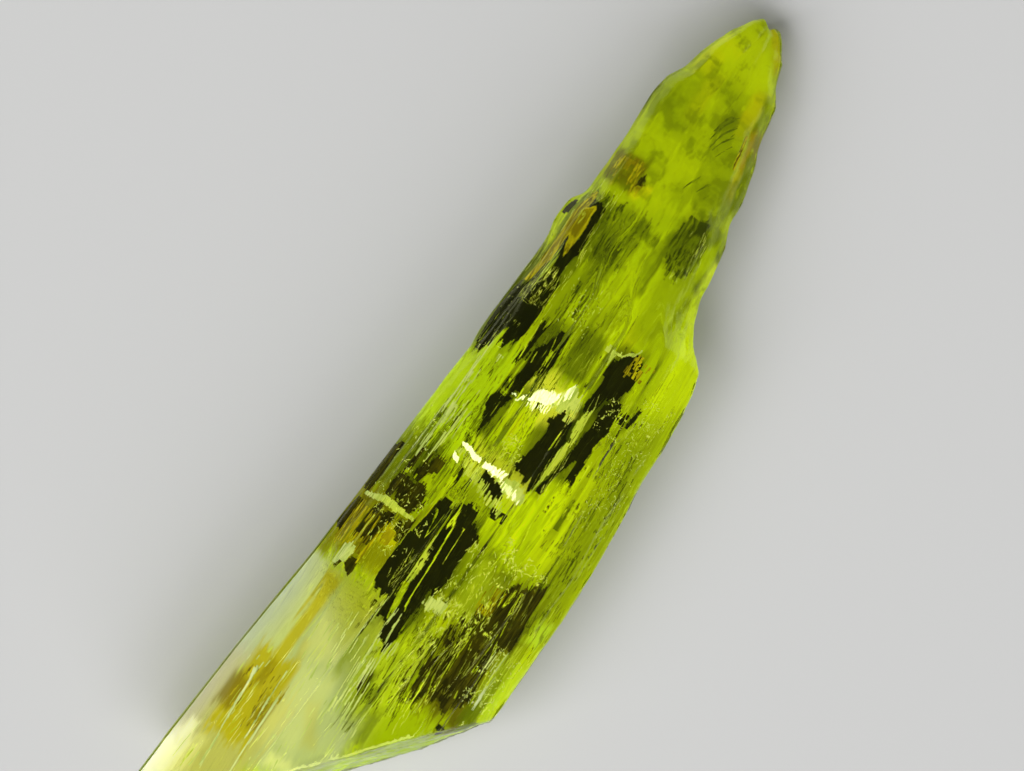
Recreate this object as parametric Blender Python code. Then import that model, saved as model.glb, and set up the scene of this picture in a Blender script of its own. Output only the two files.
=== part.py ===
"""Hiddenite crystal, the green gem variety of spodumene: one natural prism lying on its broad back face.

Metres, +Z up. The prism's length, the crystal's c axis, runs along X from the broken base (-X)
to the etched tip (+X). The flat back face lies on Z = 0. The origin is at the centre of the
bounding box, on that back face.
"""

from math import cos, radians, sin

import bmesh
import bpy
from mathutils import Vector

# Driving dimensions: the crystal as picked up, measured over everything
LENGTH = 0.0675
WIDTH = 0.0172
THICKNESS = 0.0090

# One row for each growth step along the prism: share of LENGTH from the base, left edge (+Y) and
# right edge (-Y) as shares of WIDTH from the centre line, front face as a share of THICKNESS
STATIONS = (
    (-0.030, 0.500, -0.500, 0.93),
    (0.065, 0.500, -0.500, 0.93),
    (0.175, 0.492, -0.500, 0.96),
    (0.290, 0.473, -0.500, 0.99),
    (0.370, 0.469, -0.488, 1.00),
    (0.450, 0.468, -0.468, 1.00),
    (0.510, 0.466, -0.436, 0.99),
    (0.552, 0.461, -0.405, 0.98),
    (0.572, 0.474, -0.400, 0.95),
    (0.612, 0.478, -0.382, 0.94),
    (0.650, 0.478, -0.358, 0.93),
    (0.672, 0.477, -0.330, 0.92),
    (0.691, 0.480, -0.247, 0.91),
    (0.710, 0.498, -0.196, 0.89),
    (0.733, 0.498, -0.158, 0.88),
    (0.750, 0.462, -0.150, 0.83),
    (0.790, 0.466, -0.113, 0.81),
    (0.812, 0.468, -0.070, 0.80),
    (0.834, 0.476, -0.064, 0.75),
    (0.872, 0.490, -0.018, 0.72),
    (0.893, 0.483, 0.021, 0.69),
    (0.912, 0.446, 0.038, 0.62),
    (0.934, 0.433, 0.058, 0.57),
    (0.953, 0.412, 0.112, 0.52),
    (0.973, 0.384, 0.140, 0.43),
    (0.992, 0.342, 0.198, 0.35),
    (1.000, 0.320, 0.228, 0.30),
)

# The prism's cross-section: how far each edge stands in from the crystal's sides, as shares of the
# width there, and how high it lies, as shares of the front face's height there
FRONT_INSET_LEFT = 0.12
FRONT_INSET_RIGHT = 0.22
BACK_INSET = 0.16
LEFT_EDGE_HEIGHT = 0.80
RIGHT_EDGE_HEIGHT = 0.57
BLUNT_EDGE = 0.09          # height of the narrow face along each side edge
FRONT_RIGHT_HEIGHT = 0.93  # the front face falls a little towards its right edge

# Two parallel growth steps run along the front face
STEP_DEPTH = 0.00030
STEP_WIDTH = 0.00025
STEP_PLACES = (0.34, 0.66)  # shares of the front face's width, from its left edge

# The back of the tip lifts off the surface where the prism thins out
TIP_LIFT_FROM = 0.893
TIP_LIFT = 0.0009

# The base is broken off obliquely by three fractures: the main one from the left edge's end, a
# flat one beside it and a chip off the right corner. Each has a point it passes through, the
# direction that its edge runs in plan, as an angle from +X, and how far it leans back over the
# crystal. The main fracture leans the other way, so the front face overhangs it a little.
BASE_HEIGHT = THICKNESS * STATIONS[0][3]
FRACTURES = (
    ((-LENGTH / 2, WIDTH / 2, BASE_HEIGHT * LEFT_EDGE_HEIGHT), radians(122), radians(-9)),
    ((-0.0222, -0.0045, 0.0015), radians(143), radians(10)),
    ((-0.0166, -0.0086, THICKNESS * 0.5), radians(166), radians(30)),
)

# A shallow notch parts the tip into two points. It runs back towards the right edge.
NOTCH_MOUTH = (LENGTH / 2, WIDTH * 0.277)
NOTCH_DEPTH = 0.0010
NOTCH_WIDTH = 0.00055
NOTCH_RUN = radians(46)

# Finish
BODY_COLOUR = (0.42, 0.52, 0.02, 1.0)
BODY_ROUGHNESS = 0.12
SPODUMENE_IOR = 1.665


def clear_scene():
    """Start from an empty scene."""
    for obj in list(bpy.data.objects):
        bpy.data.objects.remove(obj)


def hiddenite_material():
    """Clear yellow-green crystal, not metallic."""
    material = bpy.data.materials.new("hiddenite")
    material.use_nodes = True
    shader = material.node_tree.nodes["Principled BSDF"]
    shader.inputs["Base Color"].default_value = BODY_COLOUR
    shader.inputs["Roughness"].default_value = BODY_ROUGHNESS
    shader.inputs["Metallic"].default_value = 0.0
    shader.inputs["IOR"].default_value = SPODUMENE_IOR
    shader.inputs["Transmission Weight"].default_value = 1.0
    return material


def stepped_front(left, right, height):
    """The front face from its left edge to its right edge, falling by a step at each place."""
    fall = height * (1 - FRONT_RIGHT_HEIGHT)
    points = [(left, height)]
    for number, share in enumerate(STEP_PLACES):
        y = left + (right - left) * share
        z = height - fall * share - STEP_DEPTH * number
        points.append((y, z))
        points.append((y - STEP_WIDTH, z - STEP_DEPTH))
    points.append((right, height - fall - STEP_DEPTH * len(STEP_PLACES)))
    return points


def cross_section(left, right, height, lift):
    """The outline across the prism as (y, z) points, round from the back face's left edge."""
    width = left - right
    rise = height - lift
    back_left = (left - BACK_INSET * width, lift)
    back_right = (right + BACK_INSET * width, lift)
    left_side = [
        (left, lift + rise * (LEFT_EDGE_HEIGHT - BLUNT_EDGE)),
        (left, lift + rise * LEFT_EDGE_HEIGHT),
    ]
    right_side = [
        (right, lift + rise * RIGHT_EDGE_HEIGHT),
        (right, lift + rise * (RIGHT_EDGE_HEIGHT - BLUNT_EDGE)),
    ]
    front = stepped_front(left - FRONT_INSET_LEFT * width, right + FRONT_INSET_RIGHT * width, height)
    return [back_left, *left_side, *front, *right_side, back_right]


def lift_at(share):
    """How high the back of the crystal stands above the surface, at a share of its length."""
    beyond = max(0.0, share - TIP_LIFT_FROM) / (1 - TIP_LIFT_FROM)
    return TIP_LIFT * beyond


def prism_mesh():
    """The prism as rings of points, one at each growth step, joined and capped."""
    mesh = bmesh.new()
    rings = []
    for share, left, right, height in STATIONS:
        x = LENGTH * (share - 0.5)
        outline = cross_section(WIDTH * left, WIDTH * right, THICKNESS * height, lift_at(share))
        rings.append([mesh.verts.new((x, y, z)) for y, z in outline])
    count = len(rings[0])
    for ring, following in zip(rings, rings[1:]):
        for i in range(count):
            j = (i + 1) % count
            mesh.faces.new((ring[i], ring[j], following[j], following[i]))
    mesh.faces.new(rings[0])
    mesh.faces.new(rings[-1])
    bmesh.ops.recalc_face_normals(mesh, faces=mesh.faces)
    return mesh


def break_off(mesh, point, run, lean):
    """Cut away the base side of an oblique fracture, and close the crystal there."""
    towards_base = Vector((-sin(run), cos(run), 0))
    normal = towards_base * cos(lean) + Vector((0, 0, sin(lean)))
    geometry = mesh.verts[:] + mesh.edges[:] + mesh.faces[:]
    cut = bmesh.ops.bisect_plane(
        mesh, geom=geometry, plane_co=Vector(point), plane_no=normal, clear_outer=True
    )
    edges = [item for item in cut["geom_cut"] if isinstance(item, bmesh.types.BMEdge)]
    bmesh.ops.contextual_create(mesh, geom=edges)
    bmesh.ops.recalc_face_normals(mesh, faces=mesh.faces)


def notch_cutter():
    """A wedge that opens towards the tip, standing right through it."""
    mesh = bmesh.new()
    along = Vector((cos(NOTCH_RUN), sin(NOTCH_RUN), 0))
    aside = Vector((-sin(NOTCH_RUN), cos(NOTCH_RUN), 0))
    mouth = Vector((*NOTCH_MOUTH, -THICKNESS))
    inner_end = mouth - along * NOTCH_DEPTH
    outer_end = mouth + along * NOTCH_DEPTH
    corners = (inner_end, outer_end - aside * NOTCH_WIDTH, outer_end + aside * NOTCH_WIDTH)
    face = mesh.faces.new([mesh.verts.new(corner) for corner in corners])
    pulled = bmesh.ops.extrude_face_region(mesh, geom=[face])
    tops = [item for item in pulled["geom"] if isinstance(item, bmesh.types.BMVert)]
    bmesh.ops.translate(mesh, verts=tops, vec=(0, 0, THICKNESS * 3))
    bmesh.ops.recalc_face_normals(mesh, faces=mesh.faces)
    cutter = to_object("tip_notch_cutter", mesh)
    cutter.hide_render = True
    cutter.display_type = "WIRE"
    return cutter


def to_object(name, mesh):
    """A bmesh as a named object in the scene, with the bmesh freed."""
    data = bpy.data.meshes.new(name)
    mesh.to_mesh(data)
    mesh.free()
    obj = bpy.data.objects.new(name, data)
    bpy.context.scene.collection.objects.link(obj)
    return obj


def crystal():
    """The whole crystal: prism, broken base and notched tip."""
    mesh = prism_mesh()
    for point, run, lean in FRACTURES:
        break_off(mesh, point, run, lean)
    obj = to_object("hiddenite_crystal", mesh)
    obj.data.materials.append(hiddenite_material())
    notch = obj.modifiers.new("tip_notch", "BOOLEAN")
    notch.operation = "DIFFERENCE"
    notch.solver = "EXACT"
    notch.object = notch_cutter()
    return obj


clear_scene()
crystal()
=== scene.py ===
import math
import bmesh
import bpy
from mathutils import Matrix, Vector


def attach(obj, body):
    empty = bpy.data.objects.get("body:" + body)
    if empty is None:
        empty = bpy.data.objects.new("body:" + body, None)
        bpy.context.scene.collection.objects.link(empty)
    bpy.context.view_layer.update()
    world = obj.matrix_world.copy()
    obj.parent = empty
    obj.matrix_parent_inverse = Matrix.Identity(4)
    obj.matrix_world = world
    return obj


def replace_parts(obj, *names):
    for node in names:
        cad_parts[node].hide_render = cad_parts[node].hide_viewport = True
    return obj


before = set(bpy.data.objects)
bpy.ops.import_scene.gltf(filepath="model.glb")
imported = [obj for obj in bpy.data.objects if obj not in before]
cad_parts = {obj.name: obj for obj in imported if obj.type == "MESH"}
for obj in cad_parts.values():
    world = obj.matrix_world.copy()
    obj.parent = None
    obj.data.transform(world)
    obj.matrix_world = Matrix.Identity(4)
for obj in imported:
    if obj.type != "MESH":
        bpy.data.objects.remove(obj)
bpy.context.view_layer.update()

# Hiddenite crystal lying on its back face. Sizes in the dictionaries are millimetres and angles
# are degrees, unless a name says otherwise. X runs along the crystal from its broken base to its
# tip, Y towards its left edge, Z up through its front face. A spot is a pixel of the 1024 x 771
# photo, and a turn is counted from the crystal's length towards its left edge.
mm = 0.001
photo = dict(width=1024, height=771, mmPerPixel=0.0682, axisAngle=53.0, centreX=3.29, centreY=4.03)


def fromPhoto(spot):                               # photo pixel to crystal X, Y in millimetres
    across = spot[0] - photo["width"] / 2
    down = spot[1] - photo["height"] / 2
    cosine = math.cos(math.radians(photo["axisAngle"]))
    sine = math.sin(math.radians(photo["axisAngle"]))
    x = photo["centreX"] + (across * cosine - down * sine) * photo["mmPerPixel"]
    y = photo["centreY"] - (across * sine + down * cosine) * photo["mmPerPixel"]
    return x, y


# Node helpers, for geometry trees and materials alike

class Wire:                                        # a node's output, with ordinary arithmetic
    def __init__(self, tree, socket):
        self.tree = tree
        self.socket = socket

    def __add__(self, other):
        return calc("ADD", self, other)

    def __sub__(self, other):
        return calc("SUBTRACT", self, other)

    def __rsub__(self, other):
        return calc("SUBTRACT", other, self)

    def __mul__(self, other):
        return calc("MULTIPLY", self, other)

    def __truediv__(self, other):
        return calc("DIVIDE", self, other)

    def __rtruediv__(self, other):
        return calc("DIVIDE", other, self)


def feed(value, socket):                           # a wire is linked, anything else is set
    if isinstance(value, Wire):
        value.tree.links.new(value.socket, socket)
    else:
        socket.default_value = value


def treeOf(*values):
    return next(value.tree for value in values if isinstance(value, Wire))


def place(tree, kind, settings=None, **inputs):    # a new node
    made = tree.nodes.new(kind)
    for name, value in (settings or {}).items():
        setattr(made, name, value)
    for name, value in inputs.items():
        feed(value, made.inputs[name.replace("_", " ")])
    return made


def wired(tree, kind, output=0, settings=None, **inputs):   # one output of a new node
    return Wire(tree, place(tree, kind, settings, **inputs).outputs[output])


def shaped(shape, kind, settings=None, **inputs):  # a node that takes a shape and hands it on
    made = place(shape.tree, kind, settings, **inputs)
    feed(shape, made.inputs[0])
    return Wire(shape.tree, made.outputs[0])


def calc(operation, *values):
    made = place(treeOf(*values), "ShaderNodeMath", {"operation": operation})
    for value, socket in zip(values, made.inputs):
        feed(value, socket)
    return Wire(made.id_data, made.outputs[0])


def vectorCalc(operation, first, second):
    made = place(treeOf(first, second), "ShaderNodeVectorMath", {"operation": operation})
    feed(first, made.inputs[0])
    feed(second, made.inputs["Scale" if operation == "SCALE" else 1])
    return Wire(made.id_data, made.outputs[0])


def stretch(vector, x, y, z):
    return vectorCalc("MULTIPLY", vector, (x, y, z))


def rotated(vector, degrees):                      # about Z
    return wired(
        vector.tree, "ShaderNodeVectorRotate", 0, {"rotation_type": "Z_AXIS"}, Vector=vector,
        Angle=math.radians(degrees),
    )


def combine(x, y, z=0.0):
    return wired(treeOf(x, y, z), "ShaderNodeCombineXYZ", X=x, Y=y, Z=z)


def separate(vector):
    made = place(vector.tree, "ShaderNodeSeparateXYZ", Vector=vector)
    return [Wire(vector.tree, socket) for socket in made.outputs]


def noise(vector, detail=1.0, roughness=0.5, distortion=0.0):
    return wired(
        vector.tree, "ShaderNodeTexNoise", Vector=vector, Scale=1.0, Detail=detail, Roughness=roughness,
        Distortion=distortion,
    )


noiseGain = 2.6                                    # a noise strays 0.4 from its middle at most


def wander(vector, reach, detail=1.0):             # a smooth offset, up to about the reach either way
    return (noise(vector, detail) - 0.5) * (reach * noiseGain)


def ramp(value, low, high, bottom=0.0, top=1.0):   # smooth step from low to high
    return wired(
        value.tree, "ShaderNodeMapRange", 0, {"interpolation_type": "SMOOTHSTEP", "clamp": False},
        Value=value, From_Min=low, From_Max=high, To_Min=bottom, To_Max=top,
    )


def held(value, low, high):
    return calc("MINIMUM", calc("MAXIMUM", value, low), high)


def mix(kind, socket, output, factor, first, second):
    made = place(treeOf(factor, first, second), "ShaderNodeMix", {"data_type": kind})
    for number, value in ((0, factor), (socket, first), (socket + 1, second)):
        feed(value, made.inputs[number])
    return Wire(made.id_data, made.outputs[output])


def mixNumbers(factor, first, second):
    return mix("FLOAT", 2, 0, factor, first, second)


def mixColours(factor, first, second):
    return mix("RGBA", 6, 2, factor, first, second)


def numbers(settings):                             # a tree's inputs for the sizes in a dictionary
    return {name: "Int" if isinstance(value, int) else "Float" for name, value in settings.items()}


def newGroup(name, kind, inputs, outputs):
    tree = bpy.data.node_groups.new(name, kind)
    for direction, sockets in (("INPUT", inputs), ("OUTPUT", outputs)):
        for label, form in sockets.items():
            tree.interface.new_socket(label, in_out=direction, socket_type="NodeSocket" + form)
    given = tree.nodes.new("NodeGroupInput").outputs
    given = {label: Wire(tree, given[label]) for label in inputs}
    return tree, given, tree.nodes.new("NodeGroupOutput").inputs


def newObject(name, mesh):
    made = bpy.data.objects.new(name, mesh)
    bpy.context.scene.collection.objects.link(made)
    return made


def applied(carrier, modifier):                    # the modified mesh, with its carrier removed
    evaluated = carrier.evaluated_get(bpy.context.evaluated_depsgraph_get())
    made = bpy.data.meshes.new_from_object(evaluated)
    carrier.modifiers.remove(modifier)
    bpy.data.objects.remove(carrier)
    return made


def runTree(mesh, tree, values):                   # the tree's result as a plain mesh
    carrier = newObject(tree.name, mesh)
    modifier = carrier.modifiers.new(tree.name, "NODES")
    modifier.node_group = tree
    for socket in tree.interface.items_tree:
        if socket.name in values:
            value = values[socket.name]
            real = socket.socket_type == "NodeSocketFloat"
            modifier[socket.identifier] = float(value) if real else value
    return applied(carrier, modifier)


def finishTree(given, result, shape):              # to metres, instances made real, material on
    shape = shaped(shape, "GeometryNodeTransform", Scale=(mm, mm, mm))
    shape = shaped(shape, "GeometryNodeRealizeInstances")
    feed(shaped(shape, "GeometryNodeSetMaterial", Material=given["material"]), result[0])


def addPiece(name, mesh):
    mesh.name = name
    piece = newObject(name, mesh)
    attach(piece, "root")
    print(name, len(mesh.polygons), "faces")
    return piece


def joined(meshes, material):                      # the meshes as one
    together = bmesh.new()
    for mesh in meshes:
        together.from_mesh(mesh)
    for face in together.faces:
        face.material_index = 0
    whole = bpy.data.meshes.new("joined")
    together.to_mesh(whole)
    together.free()
    whole.materials.append(material)
    return whole


def inMillimetres(tree):
    return stretch(wired(tree, "ShaderNodeTexCoord", "Object"), 1 / mm, 1 / mm, 1 / mm)


def attribute(tree, name, output="Fac"):
    return wired(tree, "ShaderNodeAttribute", output, {"attribute_name": name})


def newMaterial(name):
    material = bpy.data.materials.new(name)
    material.use_nodes = True
    tree = material.node_tree
    return material, tree, tree.nodes["Principled BSDF"].inputs


# Group that every material and the painted ground share: lines that run along the crystal

def makeStreakGroup(name, kind):
    tree, given, result = newGroup(
        name, kind, dict(where="Vector", along="Float", across="Float", seed="Float"),
        dict(streaks="Float", fineStreaks="Float"),
    )
    x, y, z = separate(given["where"])
    drawn = combine(x * given["along"] + given["seed"], y * given["across"], z * given["across"])
    feed(noise(drawn, 2.0), result["streaks"])
    feed(noise(stretch(drawn, 2.3, 4.0, 4.0), 2.0, 0.6), result["fineStreaks"])
    return tree


streakGroups = dict(
    ShaderNodeTree=("ShaderNodeGroup", makeStreakGroup("growthStreaks", "ShaderNodeTree")),
    GeometryNodeTree=("GeometryNodeGroup", makeStreakGroup("growthStreakField", "GeometryNodeTree")),
)


def streaksIn(where, along, across, seed):         # broad streaks and fine ones
    kind, group = streakGroups[where.tree.bl_idname]
    made = place(
        where.tree, kind, {"node_tree": group}, where=where, along=along, across=across, seed=seed
    )
    return [Wire(where.tree, socket) for socket in made.outputs]


patch = dict(reachGain=4.0, sideShare=0.15)        # how streaks pull a patch's ends, and its sides


def makePatchGroup():                              # how far a place lies inside a soft-edged, turned patch
    patchNumbers = "centreX centreY turn halfLength halfWidth endFade sideFade streaks reach".split()
    tree, given, result = newGroup(
        "softPatch", "GeometryNodeTree", dict(where="Vector", **dict.fromkeys(patchNumbers, "Float")),
        dict(cover="Float"),
    )
    x, y, _ = separate(given["where"])
    dx = x - given["centreX"]
    dy = y - given["centreY"]
    cosine = calc("COSINE", given["turn"])
    sine = calc("SINE", given["turn"])
    along = calc("ABSOLUTE", dx * cosine + dy * sine)
    across = calc("ABSOLUTE", dy * cosine - dx * sine)
    ragged = (given["streaks"] - 0.5) * (given["reach"] * patch["reachGain"])
    inEnds = ramp((given["halfLength"] - along + ragged) / given["endFade"], -0.5, 0.5)
    toSide = given["halfWidth"] - across + ragged * patch["sideShare"]
    inSides = ramp(toSide / given["sideFade"], -0.5, 0.5)
    feed(calc("MINIMUM", inEnds, inSides), result["cover"])
    return tree


patchGroup = makePatchGroup()


# The clear body

glass = dict(
    ior=1.665,
    clearColour=(0.96, 0.985, 0.50, 1.0),
    hazeColour=(0.90, 0.95, 0.35, 1.0),
    paleColour=(0.98, 0.99, 0.95, 1.0),
    breakColour=(0.62, 0.74, 0.05, 1.0),
    reflectionTint=(0.95, 1.0, 0.35, 1.0),
    absorbColour=(0.978, 0.988, 0.0, 1.0),
    absorbPerMetre=600.0,
    clearRoughness=0.03, sideRoughness=0.11, hazeRoughness=0.14, breakRoughness=0.18,
    grooveBump=0.30, grooveDepth=0.02 * mm, grooveAlong=0.10, grooveAcross=2.4, grooveSeed=3.0,
)


def makeGlass():
    material, tree, shader = newMaterial("hiddenite")
    shader["IOR"].default_value = glass["ior"]
    shader["Transmission Weight"].default_value = 1.0
    shader["Metallic"].default_value = 0.0
    shader["Specular Tint"].default_value = glass["reflectionTint"]
    masks = ("tipHaze", "sideEtch", "breakFace", "paleBase")
    haze, side, broken, pale = (attribute(tree, mask) for mask in masks)
    colour = mixColours(haze, glass["clearColour"], glass["hazeColour"])
    colour = mixColours(pale, colour, glass["paleColour"])
    feed(mixColours(broken, colour, glass["breakColour"]), shader["Base Color"])
    rough = mixNumbers(side, glass["clearRoughness"], glass["sideRoughness"])
    rough = mixNumbers(haze, rough, glass["hazeRoughness"])
    feed(mixNumbers(broken, rough, glass["breakRoughness"]), shader["Roughness"])
    where = inMillimetres(tree)
    _, grooves = streaksIn(where, glass["grooveAlong"], glass["grooveAcross"], glass["grooveSeed"])
    bump = wired(
        tree, "ShaderNodeBump", Strength=glass["grooveBump"], Distance=glass["grooveDepth"], Height=grooves
    )
    feed(bump, shader["Normal"])
    absorb = wired(
        tree, "ShaderNodeVolumeAbsorption", Color=glass["absorbColour"], Density=glass["absorbPerMetre"]
    )
    feed(absorb, tree.nodes["Material Output"].inputs["Volume"])
    return material


body = dict(
    cell=0.13, cellStretch=3.0,    # mesh spacing across the crystal, and how many times that along it
    levelRounds=60,                # how widely the growth steps are evened out in the hazy tip
    grooves=dict(along=0.06, seed=0.0, detail=1.5),
    levels=dict(along=0.05, seed=7.3, detail=2.0), levelRise=0.12, levelGain=8.0,
    grooveFade=0.75,               # share of the grooves that the haze takes away
    etchStretch=(0.75, 1.0, 1.0), etchBlend=0.35, etchOnSide=0.55, sideEnd=16.0, sideFull=10.0,
    roamStretch=(0.25, 0.25, 0.25), roamReach=3.5, roamOnSide=0.2,
    breakStretch=(0.35, 0.5, 0.9), breakNoise=dict(detail=3.0, roughness=0.55, distortion=0.8),
    breakFacing=(-0.35, -0.6), backFacing=(-0.75, -0.95), frontFacing=(0.2, 0.6), backWear=-0.4,
    skin=dict(
        grooveDepth=0.060, groovePitch=0.70, stepDepth=0.055, stepPitch=2.6, etchDepth=0.08, etchSize=0.9,
        breakDepth=0.55, hazeFrom=8.0, hazeTo=22.0, sideFrom=-4.4, sideTo=-6.2, paleFrom=-11.0, paleTo=-18.0,
    ),
)


def storeMask(shape, name, value, kind="FLOAT"):
    return shaped(shape, "GeometryNodeStoreNamedAttribute", {"data_type": kind}, Name=name, Value=value)


def blurred(value, kind, rounds):                  # evened out over the mesh
    return wired(
        value.tree, "GeometryNodeBlurAttribute", 0, {"data_type": kind}, Value=value, Iterations=rounds
    )


def makeSkinTree():                                # grooves, growth steps, etching and the rough break
    tree, given, result = newGroup(
        "crystalSkin", "GeometryNodeTree",
        dict(crystal="Geometry", **numbers(body["skin"]), material="Material"), dict(crystal="Geometry"),
    )
    where = wired(tree, "GeometryNodeInputPosition")
    facing = wired(tree, "GeometryNodeInputNormal")
    x, y, z = separate(where)
    faceX, _, faceZ = separate(facing)

    def lanes(pitch, along, seed, detail):         # noise drawn out along the crystal
        finer = 1.0 / pitch
        return noise(combine(x * along + seed, y * finer, z * finer), detail)

    grooves = (lanes(given["groovePitch"], **body["grooves"]) - 0.5) * (given["grooveDepth"] * 2.0)
    levels = calc("SNAP", lanes(given["stepPitch"], **body["levels"]), body["levelRise"])
    steps = (levels - 0.5) * (given["stepDepth"] * body["levelGain"])
    steps = steps * ramp(x, given["hazeTo"], given["hazeFrom"])
    cells = wired(
        tree, "ShaderNodeTexVoronoi", 0, {"feature": "SMOOTH_F1"}, Smoothness=body["etchBlend"],
        Vector=stretch(where, *body["etchStretch"]), Scale=1.0 / given["etchSize"],
    )
    roam = wander(stretch(where, *body["roamStretch"]), body["roamReach"], 2.0)
    haze = ramp(x + roam, given["hazeFrom"], given["hazeTo"])
    side = ramp(y - roam * body["roamOnSide"], given["sideFrom"], given["sideTo"])
    side = side * ramp(x, body["sideEnd"], body["sideFull"])
    pale = ramp(x + roam, given["paleFrom"], given["paleTo"])
    etch = (cells - 0.5) * given["etchDepth"] * calc("MAXIMUM", haze, side * body["etchOnSide"])

    broken = ramp(faceX, *body["breakFacing"])
    waves = noise(stretch(where, *body["breakStretch"]), **body["breakNoise"])
    onSides = (grooves + steps) * (1.0 - haze * body["grooveFade"]) + etch
    depth = mixNumbers(broken, onSides, (waves - 0.5) * given["breakDepth"])
    worn = calc("ABSOLUTE", depth) * body["backWear"]   # the back only wears inwards, so it rests flat
    push = vectorCalc("SCALE", facing, mixNumbers(ramp(faceZ, *body["backFacing"]), depth, worn))

    shape = given["crystal"]
    for name, mask in (("tipHaze", haze), ("sideEtch", side), ("breakFace", broken), ("paleBase", pale)):
        shape = storeMask(shape, name, mask)
    sink = (blurred(z, "FLOAT", body["levelRounds"]) - z) * (haze * ramp(faceZ, *body["frontFacing"]))
    shape = shaped(shape, "GeometryNodeSetPosition", Offset=combine(0.0, 0.0, sink))
    shape = shaped(shape, "GeometryNodeSetPosition", Offset=push)
    finishTree(given, result, shaped(shape, "GeometryNodeSetShadeSmooth"))
    return tree


def makeSolid():                                   # the CAD solid, merged and in millimetres
    shape = bmesh.new()
    shape.from_mesh(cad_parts["hiddenite_crystal"].data)
    bmesh.ops.remove_doubles(shape, verts=shape.verts, dist=0.002 * mm)
    bmesh.ops.recalc_face_normals(shape, faces=shape.faces)
    bmesh.ops.transform(shape, matrix=Matrix.Scale(1 / mm, 4), verts=shape.verts)
    solid = bpy.data.meshes.new("crystalSolid")
    shape.to_mesh(solid)
    shape.free()
    return solid


def evenCells(cell, cellStretch):                  # remeshed with cells drawn out along the crystal
    squeezed = crystalSolid.copy()
    squeezed.transform(Matrix.Diagonal((1 / cellStretch, 1.0, 1.0, 1.0)))
    carrier = newObject("evenCells", squeezed)
    remesh = carrier.modifiers.new("evenCells", "REMESH")
    remesh.mode = "VOXEL"
    remesh.voxel_size = cell
    even = applied(carrier, remesh)
    even.transform(Matrix.Diagonal((cellStretch, 1.0, 1.0, 1.0)))
    return even


crystalSolid = makeSolid()
skinned = runTree(
    evenCells(body["cell"], body["cellStretch"]), makeSkinTree(), dict(body["skin"], material=makeGlass())
)
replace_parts(addPiece("crystalBody", skinned), "hiddenite_crystal")


# What is sealed in the crystal: films and grains that follow its growth

probe = dict(start=30.0, length=60.0, missed=100.0, aside=0.25)   # rays that look for the surface


def castRay(target, source, down, reach):          # whether it meets the target, and how high
    ray = place(
        source.tree, "GeometryNodeRaycast", Target_Geometry=target, Source_Position=source,
        Ray_Direction=(0.0, 0.0, down), Ray_Length=reach,
    )
    met = Wire(source.tree, ray.outputs["Is Hit"])
    return met, separate(Wire(source.tree, ray.outputs["Hit Position"]))[2]


def crystalSpan(crystal, x, y):                    # whether the crystal is here, and its two heights
    here, top = castRay(crystal, combine(x, y, probe["start"]), -1.0, probe["length"])
    _, bottom = castRay(crystal, combine(x, y, -probe["start"]), 1.0, probe["length"])
    return here, bottom, top


def coverAt(crystal, x, y, z):                     # how deep a point is under the crystal's surface
    here, bottom, top = crystalSpan(crystal, x, y)
    return calc("MINIMUM", top - z, z - bottom) + (here - 1.0) * probe["missed"]


def outside(crystal, dx, dy, margin):              # true where a grain that reaches dx, dy would show
    x, y, z = separate(wired(crystal.tree, "GeometryNodeInputPosition"))
    least = coverAt(crystal, x, y, z)
    aside = probe["aside"]
    for stepX, stepY in ((dx, dy), (dx * -1.0, dy * -1.0), (0.0, aside), (0.0, -aside)):
        least = calc("MINIMUM", least, coverAt(crystal, x + stepX, y + stepY, z))
    return calc("LESS_THAN", least, margin)


def turned(given, x, y):                           # from a film's own X, Y to the crystal's
    cosine = calc("COSINE", given["turn"])
    sine = calc("SINE", given["turn"])
    return given["placeX"] + (x * cosine - y * sine), given["placeY"] + (x * sine + y * cosine)


filmUsual = dict(
    length=5.0, width=2.0, turn=6.0, cellLength=0.30, cellWidth=0.055, thickness=0.03, depth=0.55,
    margin=0.40, fringe=1.6, sideFringe=0.4, ragged=0.0, wobble=0.0, gaps=0.0, streakLength=3.6,
    streakWidth=0.12, relief=0.10, bow=0.0, tilt=0.03,
)
filmNoise = dict(
    laneGain=2.2, laneMost=0.99,
    broad=(0.08, 0.55), fine=(0.10, 0.15),         # per millimetre along the film, millimetres across
    wobble=(0.7, 0.7),                             # millimetres both ways
    bend=(0.2, 0.4), bendReach=0.10, relief=(0.35, 0.9),      # per millimetre both ways
)
filmEdge = dict(reach=0.7, marginShare=0.6, weld=0.002)       # how far about it the crystal has to cover it


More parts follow.
